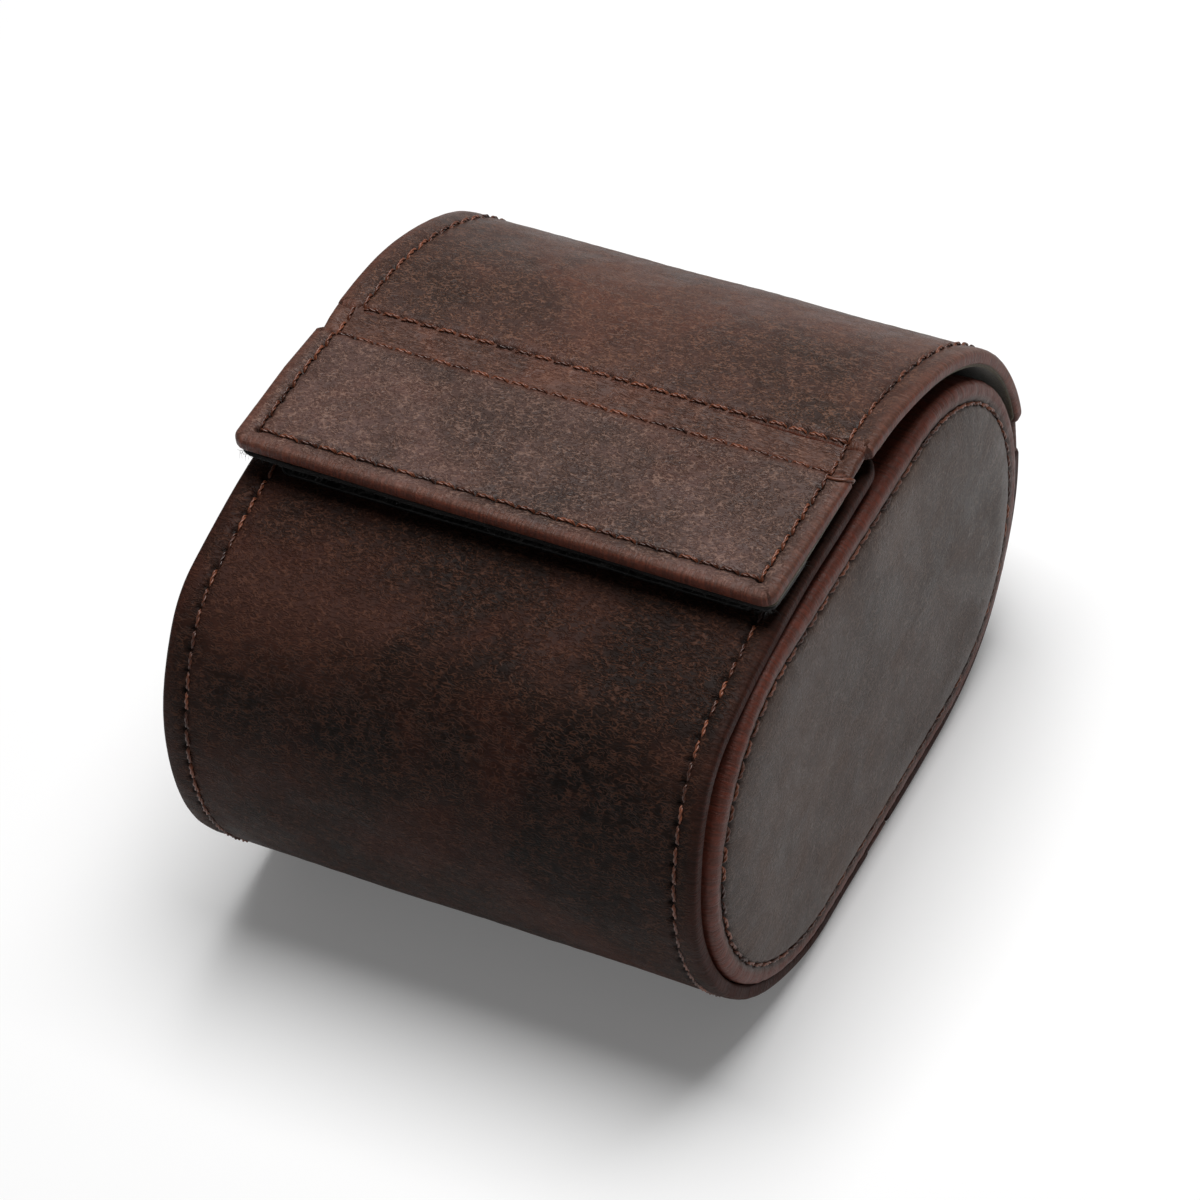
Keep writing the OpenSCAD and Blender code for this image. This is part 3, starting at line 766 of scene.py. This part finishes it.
def smoothLine(points, count):
    # A smooth curve through the given points
    points = np.array(points, float)
    t = np.linspace(0, len(points) - 1, count)
    k = np.clip(t.astype(int), 0, len(points) - 2)
    f = (t - k)[:, None]
    before, after = np.clip(k - 1, 0, None), np.clip(k + 2, None, len(points) - 1)
    a, b, c, d = points[before], points[k], points[k + 1], points[after]
    return 0.5 * (2 * b + (c - a) * f + (2 * a - 5 * b + 4 * c - d) * f ** 2 + (3 * b - a - 3 * c + d) * f ** 3)


# The thread's end goes once round the right end of the fold
loopWay = smoothLine([
    (36.9, 1.7, 68.6), (38.2, 1.6, 68.7), (39.3, 1.9, 68.7), (40.0, 2.5, 68.4), (40.2, 2.9, 67.9),
    (39.9, 2.8, 67.5), (39.2, 2.3, 67.4),
], 50)
foldLoop = tubePiece("topFoldLoop", loopWay, 0.24, threadMaterial, 8)
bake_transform(foldLoop)

backFoldPath = tracePath([("arc", drum["backCentre"], 33.1, 2.0, -10.6)])
backFold = slabPiece(
    "backFoldStrip", backFoldPath, dict(foldLook, start=0.0, end=backFoldPath["length"], seed=73), [],
    hides["fold"], lambda x, s: -0.12 * np.exp(-((s - 3.6) / 0.25) ** 2), shift=100,
)
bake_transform(backFold)
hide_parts("back_fold")

bottomFoldPath = tracePath([("line", (1.3, 0.12), (-5.3, 0.12))])
bottomFold = slabPiece(
    "bottomFoldStrip", bottomFoldPath, dict(foldLook, start=0.0, end=6.6, seed=79, swell=0.0), [],
    hides["fold"], None, shift=180,
)
dress(bottomFold, "case", "fold_leather", "bottom_fold")
print("folds made")

# End caps: leather over padding and board, with one seam round each
capLook = {
    "radius": 28.5, "pitch": 39.0, "middle": 31.7, "inner": 36.0, "rim": 41.0, "roll": 1.4,
    "seamIn": 3.0, "crown": 0.8, "slope": 6.0, "seed": 91, "count": 520, "wrapIn": 10.0,
}


def capOutline(radius, count):
    # Points of the stadium in the Y-Z plane, anticlockwise seen from +X, with outward directions and run
    pitch = capLook["pitch"]
    straight, bend = pitch, math.pi * radius
    total = 2 * (straight + bend)
    runs = np.linspace(0, total, count, endpoint=False)
    spots, dirs = [], []
    for r in runs:
        if r < bend:
            a = -math.pi / 2 + r / radius
            spots.append((pitch / 2 + radius * math.cos(a), radius * math.sin(a)))
            dirs.append((math.cos(a), math.sin(a)))
        elif r < bend + straight:
            spots.append((pitch / 2 - (r - bend), radius))
            dirs.append((0, 1))
        elif r < 2 * bend + straight:
            a = math.pi / 2 + (r - bend - straight) / radius
            spots.append((-pitch / 2 + radius * math.cos(a), radius * math.sin(a)))
            dirs.append((math.cos(a), math.sin(a)))
        else:
            spots.append((-pitch / 2 + (r - 2 * bend - straight), -radius))
            dirs.append((0, -1))
    return np.array(spots), np.array(dirs), runs, total


def capPiece(name, side, seed):
    # Rings of the stadium from the inner face, over the rolled rim, the seam and the crown, to the middle line
    look = capLook
    radius, count = look["radius"], look["count"]
    spots, dirs, runs, total = capOutline(radius, count)
    stitches = round((total - 2 * math.pi * look["seamIn"]) / stitchPitch)
    phase = np.arange(count) / count * stitches
    roll, rim, inner = look["roll"], look["rim"], look["inner"]
    steps = [(3.0, inner, 0.0), (1.2, inner, 0.0), (0.5, inner + 0.15, 0.1), (0.1, inner + 0.6, 0.6)]
    steps += [(0.0, h, 1.0) for h in np.linspace(inner + 1.0, rim - roll, 7)]
    for k in range(1, 9):
        a = math.radians(90 * k / 8)
        steps.append((roll * (1 - math.cos(a)), rim - roll * (1 - math.sin(a)), 1.0 - 0.55 * k / 8))
    seam, crown, slope = look["seamIn"], look["crown"], look["slope"]
    nearSeam, overCrown = np.arange(roll + 0.3, seam + 1.2, 0.22), np.arange(seam + 1.3, radius - 0.4, 0.6)
    for inward in np.concatenate([nearSeam, overCrown]):
        height = rim
        if inward > seam:
            u = min(1.0, (inward - seam) / slope)
            height = rim + crown * (1 - (1 - u) ** 2.2)
        steps.append((inward, height, 0.45 * math.exp(-max(0, inward - roll) / 0.9)))
    steps.append((radius - 0.02, rim + crown, 0.0))
    gather = waves(runs, 0 * runs, 1.1, seed, 9) * 0.5 + waves(runs, 0 * runs, 2.6, seed + 1, 7) * 0.5
    pull = 0.5 + 0.5 * np.cos(2 * math.pi * phase)
    points, flat, dark, wear, rims = [], [], [], [], []
    run = 0.0
    for k, (inward, height, redness) in enumerate(steps):
        if k:
            run += math.hypot(inward - steps[k - 1][0], height - steps[k - 1][1])
        onWall = redness > 0.55 and inward < roll
        bumpy = 0.10 * gather * math.exp(-max(0, inward - roll) / 1.2) if inward < seam else 0
        away = abs(inward - seam)
        channel = 0.30 * math.exp(-(away / 0.55) ** 2)
        pits = 0.5 * math.exp(-(away / 0.32) ** 2) * np.clip(pull * 4 - 3.2, 0, 1)
        puckers = 0.10 * pull * math.exp(-max(0, inward - seam) / 1.6) if inward > seam else 0.05 * pull
        slow = 0.10 * waves(spots[:, 0] - dirs[:, 0] * inward, spots[:, 1] - dirs[:, 1] * inward, 30, seed + 5)
        lift = (-channel - pits - puckers) * (height > rim - 0.3) + slow * (inward > roll)
        if height < rim - 0.3:
            lift = lift * 0
        out = radius - inward + (bumpy if height < rim - 0.05 or inward < roll else 0)
        top = height + lift + (bumpy if inward >= roll else 0)
        middle = np.clip(np.abs(spots[:, 0]), 0, look["pitch"] / 2) * np.sign(spots[:, 0])
        y = middle + dirs[:, 0] * out
        z = look["middle"] + dirs[:, 1] * out
        points.append(np.stack([np.full(count, 0.0) + top, y, z], 1))
        flat.append(np.column_stack([spots + dirs * (look["wrapIn"] - run), np.zeros(count)]))
        # dark is painted shade: in the seam channel, in the needle holes and in the troughs of the gathers on the
        # rim wall
        dark.append(np.full(count, 0.6 * math.exp(-(away / 0.45) ** 2)) * (inward > roll)
                    + np.clip(pits * 2, 0, 1) + (0.25 * np.clip(-gather, 0, 1) if onWall else 0))
        wear.append(np.full(count, redness) * (0.9 + 0.1 * gather))
        rims.append(np.column_stack([runs, np.full(count, inward), np.full(count, height)]))
    points, flat = np.concatenate(points), np.concatenate(flat)
    points[:, 0] *= side
    faces = []
    for k in range(len(steps) - 1):
        a = k * count + np.arange(count)
        b = np.roll(a, -1)
        quad = np.stack([a, b, b + count, a + count], -1)
        faces += (quad if side > 0 else quad[:, ::-1]).tolist()
    first = list(range(count))
    faces.append(first[::-1] if side > 0 else first)
    last = list(range((len(steps) - 1) * count, len(steps) * count))
    faces.append(last if side > 0 else last[::-1])
    flat[:, 2] = 40 * side
    piece = meshPiece(name, points, faces, hides["cap"],
                      {"panelMm": flat, "rimMm": np.concatenate(rims), "patch": np.zeros(len(flat)),
                       "dark": np.clip(np.concatenate(dark), 0, 1), "wear": np.concatenate(wear)})
    share = np.arange(stitches + 1) / stitches
    atHoles = [np.stack([np.interp(share * count, np.arange(count + 1), np.append(table[:, k], table[0, k]))
                         for k in (0, 1)], 1) for table in (spots, dirs)]
    onSeam = atHoles[0] - atHoles[1] * seam
    holes = np.stack([np.full(len(onSeam), side * (rim - 0.2)), onSeam[:, 0], look["middle"] + onSeam[:, 1]], 1)
    normals = np.tile((float(side), 0.0, 0.0), (len(onSeam), 1))
    thread = threadPiece(name + "Thread", [(holes, normals)], threadMaterial, seed)
    return piece, thread


for side, label in ((-1, "left"), (1, "right")):
    cap, capThread = capPiece(label + "CapHide", side, capLook["seed"] + side)
    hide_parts(label + "_cap_leather")
    dress(cap, "case", "cap_leather")
    dress(capThread, "case", "cap_leather")
print("end caps made")

# Suede linings: thin sheets on the hollow side whose edges show beside the turned leather
liningLook = {
    "thickness": 0.8, "edgeOut": 0.25, "edgeTop": 0.25, "edgeBottom": 0.25, "cornerStart": 1.6, "cornerEnd": 1.6,
    "grid": 1.2, "puff": 0.0, "swell": 0.04, "pebble": 0.02, "sway": 0.12,
}
liningSet = {
    "flapLining": {"path": flapPath, "under": 2.35, "width": 79.2, "border": (0.9, 0.5), "body": "flap",
                   "node": "flap_lining", "shiftX": 0.3, "seed": 201},
    "lidLining": {"path": lidPath, "under": 2.35, "width": 80.4, "border": (0.8, 0.8), "body": "lid",
                  "node": "lid_lining", "shiftX": 0.2, "seed": 203},
    "frontLining": {"path": frontPath, "under": 2.5, "width": 75.0, "border": (2.6, 2.6), "body": "case",
                    "node": "front_lining", "shiftX": 0.0, "seed": 205},
    "backLining": {"path": backPath, "under": 2.5, "width": 75.0, "border": (2.6, 2.6), "body": "case",
                   "node": "back_lining", "shiftX": 0.0, "seed": 207},
}
for name, look in liningSet.items():
    inner = insidePath(look["path"], look["under"])
    sheet = slabPiece(name, inner, dict(
        liningLook, width=look["width"], start=look["border"][0], end=inner["length"] - look["border"][1],
        seed=look["seed"], shiftX=look["shiftX"], leftLift=(1.3, 0.9) if look["body"] == "flap" else (0, 0),
    ), [], olive)
    dress(sheet, look["body"], "lining_suede", look["node"])

# Padded wall of the drum
wallLook = {"under": 4.8, "width": 71.8, "thickness": 2.5}
wallInside = insidePath(wallPath, wallLook["under"])
wall = slabPiece("wallSuede", wallInside, dict(
    liningLook, width=wallLook["width"], thickness=wallLook["thickness"], start=0.4, end=wallInside["length"] - 0.4,
    edgeOut=0.9, edgeTop=0.9, edgeBottom=0.4, seed=209, swell=0.12,
), [], olive, lambda x, s: 0.10 * waves(x, s, 9, 211))
dress(wall, "case", "lining_suede", "wall_suede", "wall_padding")


def fibres(name, roots, outward, material, seed, length=(0.2, 0.75), thick=0.05):
    # Loose fibres along a raw edge: thin three-sided hairs, each bent its own way
    rng = np.random.default_rng(seed)
    points, faces, base = [], [], 0
    for root, out in zip(roots, outward):
        size = rng.uniform(*length)
        lean, bend = rng.normal(0, 0.45, 3), rng.normal(0, 0.5, 3)
        t = np.linspace(0, 1, 5)[:, None]
        line = root + size * (t * (out + lean) + t * t * bend)
        around = np.array([(0, 1, 0), (0, -0.5, 0.87), (0.8, -0.5, -0.5)]) * thick
        ring = line[:, None, :] + around[None] * (1 - 0.7 * t)[:, :, None]
        points.append(ring.reshape(-1, 3))
        for i in range(4):
            for j in range(3):
                j2 = (j + 1) % 3
                faces.append([base + i * 3 + j, base + i * 3 + j2, base + i * 3 + 3 + j2, base + i * 3 + 3 + j])
        faces.append([base + 2, base + 1, base])
        faces.append([base + 12, base + 13, base + 14])
        base += 15
    return meshPiece(name, np.concatenate(points), faces, material)


# Hook-and-loop closure: napped loop tape under the flap, hook tape on the panel below it
tapeLook = dict(liningLook, thickness=0.9, grid=0.5, pebble=0.08, sway=0.35)
loopTapeLook = {"width": 78.6, "from": 11.6, "under": 3.0, "border": 0.3, "shiftX": 0.2, "leftLift": (1.3, 0.9)}
loopInside = insidePath(flapPath, loopTapeLook["under"])
loopTape = slabPiece("loopTape", loopInside, dict(
    tapeLook, width=loopTapeLook["width"], start=loopInside["length"] - loopTapeLook["from"],
    end=loopInside["length"] - loopTapeLook["border"], shiftX=loopTapeLook["shiftX"], seed=221,
    leftLift=loopTapeLook["leftLift"],
), [], loopBlack)
dress(loopTape, "flap", "loop_tape", "loop_tape")

# Fibres along the front edge and, the first of them, along the right end
napLook = {
    "count": 1500, "atEnd": 250, "span": (-39.0, 39.4), "inFrom": (0.2, 0.9), "endX": 39.2, "endSpan": (0.3, 11.0),
    "depth": (0.0, 0.7), "ahead": (0.0, -0.8, -0.15), "aside": (0.35, 0.0, -0.15),
}
rng = np.random.default_rng(223)
count, atEnd = napLook["count"], napLook["atEnd"]
rootX = rng.uniform(*napLook["span"], count)
rootS = loopInside["length"] - rng.uniform(*napLook["inFrom"], count)
rootX[:atEnd], rootS[:atEnd] = napLook["endX"], loopInside["length"] - rng.uniform(*napLook["endSpan"], atEnd)
spots, normals = placeOn(loopInside, rootX, rootS, rng.uniform(*napLook["depth"], count))
outward = np.tile(napLook["ahead"], (count, 1))
outward[:atEnd] = napLook["aside"]
loopFuzz = fibres("loopTapeNap", leftLift(spots, loopTapeLook["leftLift"]), outward, loopBlack, 225)
dress(loopFuzz, "flap", "loop_tape")

hookLook = {"y": (-19.4, -7.8), "width": 72.0, "thickness": 0.7, "proud": 0.5, "bump": 0.1, "pitch": 1.4,
            "topFrom": 85}
rows = frontPath["rows"]
late = frontPath["s"] > hookLook["topFrom"]
hookSpan = [float(np.interp(y, rows[late, 0], frontPath["s"][late])) for y in hookLook["y"]]
hookPath = dict(frontPath, rows=rows.copy())
hookPath["rows"][:, :2] += hookPath["rows"][:, 2:] * hookLook["proud"]
hookTape = slabPiece("hookTape", hookPath, dict(
    tapeLook, width=hookLook["width"], start=hookSpan[0], end=hookSpan[1], thickness=hookLook["thickness"],
    seed=231, sway=0.1,
), [], hookBlack, lambda x, s: (hookLook["bump"] * np.cos(x * 2 * math.pi / hookLook["pitch"])
                                * np.cos(s * 2 * math.pi / hookLook["pitch"])))
dress(hookTape, "case", "hook_tape", "hook_tape")
print("linings and tapes made")


def stadiumRings(name, steps, pitch, middle, count, material, relief=None):
    # steps: (x, radius) rings of a stadium across the case, closed at both ends
    points, faces = [], []
    for x, radius in steps:
        # One unit of run for each: back round, top, front round, bottom
        runs = np.linspace(0, 4, count, endpoint=False)
        leg = [runs < 1, runs < 2, runs < 3]
        angle = np.select(leg, [-90 + runs * 180, 90 + 0 * runs, 90 + (runs - 2) * 180], 270)
        shift = np.select(leg, [0.5 + 0 * runs, 0.5 - (runs - 1), -0.5 + 0 * runs], runs - 3.5)
        y = pitch * shift + radius * np.cos(np.radians(angle))
        z = middle + radius * np.sin(np.radians(angle))
        points.append(np.stack([np.full(count, float(x)), y, z], 1))
    for k in range(len(steps) - 1):
        a = k * count + np.arange(count)
        b = np.roll(a, -1)
        faces += np.stack([a, a + count, b + count, b], -1).tolist()
    # The last ring at each end has closed to a slit, which one face shuts
    faces.append(list(range(count)))
    faces.append([(len(steps) - 1) * count + k for k in range(count - 1, -1, -1)])
    points = np.concatenate(points)
    if relief is not None:
        points = relief(points)
    return meshPiece(name, points, faces, material)


for side, label in ((-1, "left"), (1, "right")):
    look = {"radius": 27.2, "face": 35.45, "back": 36.3}
    rings = [(look["back"], 20.0), (look["back"], 26.9), (look["face"] + 0.35, 27.2), (look["face"] + 0.08, 27.0)]
    rings += [(look["face"] + 0.02 * k, 26.4 - 2.2 * k) for k in range(11)] + [(look["face"] + 0.2, 0.6)]
    rings = [(side * x, r) for x, r in rings]
    lining = stadiumRings(label + "CapLining", rings if side < 0 else rings[::-1], capLook["pitch"],
                          capLook["middle"], 160, olive)
    dress(lining, "case", "lining_suede", label + "_cap_lining")

# Cushion: a stuffed cover with a sewn-in panel and a piped seam at each end
cushionLook = {
    "seamAt": 31.4, "radius": 20.9, "draw": 1.9, "pitch": 20.0, "middle": 26.3, "count": 176,
    "piping": 0.9,
}


def cushionRadius(x):
    u = min(1.0, abs(x) / cushionLook["seamAt"])
    return cushionLook["radius"] - cushionLook["draw"] * u ** 4


def creased(points):
    # Shallow puckers along the end seams and slow dents over the rest
    x, y, z = points.T
    out = np.stack([0 * x, y - np.clip(y, -10, 10), z - cushionLook["middle"]], 1)
    out /= np.maximum(np.linalg.norm(out, axis=1), 1e-6)[:, None]
    near = np.exp(-np.clip(cushionLook["seamAt"] - np.abs(x), 0, 99) / 6) * (np.abs(x) <= cushionLook["seamAt"])
    around = np.arctan2(z - cushionLook["middle"], y) * 26
    size = 0.35 * near * waves(around, 0.3 * x, 4.5, 301, 9) + 0.25 * waves(around, x, 18, 303)
    size = size * (np.abs(x) <= cushionLook["seamAt"] + 0.2)
    return points + out * (size - 0.3)[:, None]


coverSteps = [(x, cushionRadius(x)) for x in np.linspace(-cushionLook["seamAt"], cushionLook["seamAt"], 45)]
endSteps = []
for k in range(1, 12):
    share = k / 11
    endSteps.append((cushionLook["seamAt"] + 1.7 * math.sin(min(1, share * 2.2) * math.pi / 2),
                     (cushionRadius(cushionLook["seamAt"]) - 0.6) * (1 - share) + 0.4))
steps = [(-x, r) for x, r in endSteps[::-1]] + coverSteps + endSteps
cushion = stadiumRings("cushionCover", steps, cushionLook["pitch"], cushionLook["middle"], cushionLook["count"],
                       tan, creased)


def relaxCloth(piece, cap):
    # The cover is blown up as cloth for 20 frames; no point moves further than cap
    start = np.zeros(len(piece.data.vertices) * 3, np.float32)
    piece.data.vertices.foreach_get("co", start)
    start = start.reshape(-1, 3)
    cloth = piece.modifiers.new("cloth", "CLOTH")
    cloth.settings.quality = 5
    cloth.settings.use_pressure = True
    cloth.settings.uniform_pressure_force = 4.0
    cloth.settings.tension_stiffness = 15.0
    cloth.settings.bending_stiffness = 0.3
    cloth.settings.shrink_min = -0.02
    cloth.settings.effector_weights.gravity = 0.0
    cloth.point_cache.frame_start, cloth.point_cache.frame_end = 1, 20
    for step in range(1, 21):
        scene.frame_set(step)
    settled = piece.evaluated_get(bpy.context.evaluated_depsgraph_get()).to_mesh()
    end = np.zeros(len(settled.vertices) * 3, np.float32)
    settled.vertices.foreach_get("co", end)
    end = end.reshape(-1, 3)
    move = np.nan_to_num(end - start)
    size = np.linalg.norm(move, axis=1)[:, None]
    piece.modifiers.remove(cloth)
    scene.frame_set(1)
    piece.data.vertices.foreach_set("co", (start + move * np.minimum(1, cap / np.maximum(size, 1e-9))).ravel())
    piece.data.update()


relaxCloth(cushion, 0.0004)
cornerNow = np.zeros(len(cushion.data.vertices) * 3, np.float32)
cushion.data.vertices.foreach_get("co", cornerNow)
cornerNow = cornerNow.reshape(-1, cushionLook["count"], 3) / mm
subdivide = cushion.modifiers.new("smooth", "SUBSURF")
subdivide.levels = subdivide.render_levels = 1
dress(cushion, "cushion", "cushion_suede", "cushion_cover", "cushion_left_end", "cushion_right_end",
      "cushion_core")
seamRings = (len(endSteps), len(endSteps) + len(coverSteps) - 1)
for ring, label in zip(seamRings, ("left", "right")):
    cord = tubePiece(label + "CushionPiping", cornerNow[ring], cushionLook["piping"], tan, 10, True)
    dress(cord, "cushion", "cushion_suede")
print("cushion made")

# Pale floor, white background and one softbox overhead
stageLook = {"floor": "#f2f2f2", "glow": 0.12, "sky": 0.12}
bpy.ops.mesh.primitive_plane_add(size=6.0, location=(0, 0, -0.0003))
floor = bpy.context.object
floor.name = "paleFloor"
floorMaterial = newMaterial("paleStudioFloor")
path = addNode(floorMaterial, "ShaderNodeLightPath")
seen = addNode(floorMaterial, "ShaderNodeMath", {0: path.outputs["Is Camera Ray"],
                                                 1: path.outputs["Is Glossy Ray"]}, operation="MAXIMUM")
strength = addNode(floorMaterial, "ShaderNodeMath", {0: seen.outputs[0]}, operation="MULTIPLY",
                   in_1=stageLook["glow"])
paint = addNode(floorMaterial, "ShaderNodeBsdfPrincipled", {"Emission Strength": strength.outputs[0]},
                in_Roughness=0.9, in_Specular_IOR_Level=0.0)
paint.inputs["Base Color"].default_value = colour(stageLook["floor"])
paint.inputs["Emission Color"].default_value = (1, 1, 1, 1)
addNode(floorMaterial, "ShaderNodeOutputMaterial", {"Surface": paint.outputs[0]})
floor.data.materials.append(floorMaterial)

world = bpy.data.worlds.new("studioWorld")
scene.world = world
world.use_nodes = True
world.node_tree.nodes.clear()
lightPath = addNode(world, "ShaderNodeLightPath")
seenSky = addNode(world, "ShaderNodeMath", {0: lightPath.outputs["Is Camera Ray"],
                                            1: lightPath.outputs["Is Transmission Ray"]}, operation="MAXIMUM")
dim = addNode(world, "ShaderNodeBackground", in_Strength=stageLook["sky"])
dim.inputs["Color"].default_value = (1, 1, 1, 1)
white = addNode(world, "ShaderNodeBackground", in_Strength=1.0)
white.inputs["Color"].default_value = (1, 1, 1, 1)
pick = addNode(world, "ShaderNodeMixShader", {0: seenSky.outputs[0], 1: dim.outputs[0], 2: white.outputs[0]})
addNode(world, "ShaderNodeOutputWorld", {"Surface": pick.outputs[0]})


def softLamp(name, place, target, width, height, power):
    data = bpy.data.lights.new(name, "AREA")
    data.shape, data.size, data.size_y, data.energy = "RECTANGLE", width, height, power
    lamp = bpy.data.objects.new(name, data)
    scene.collection.objects.link(lamp)
    lamp.location = place
    lamp.rotation_mode = "QUATERNION"
    lamp.rotation_quaternion = (Vector(target) - Vector(place)).to_track_quat("-Z", "Y")
    return lamp


softLamp("overheadSoftbox", (0.02, 0.14, 0.75), (0, 0, 0.03), 0.5, 0.5, 6.2)
print("stage and lamps made")
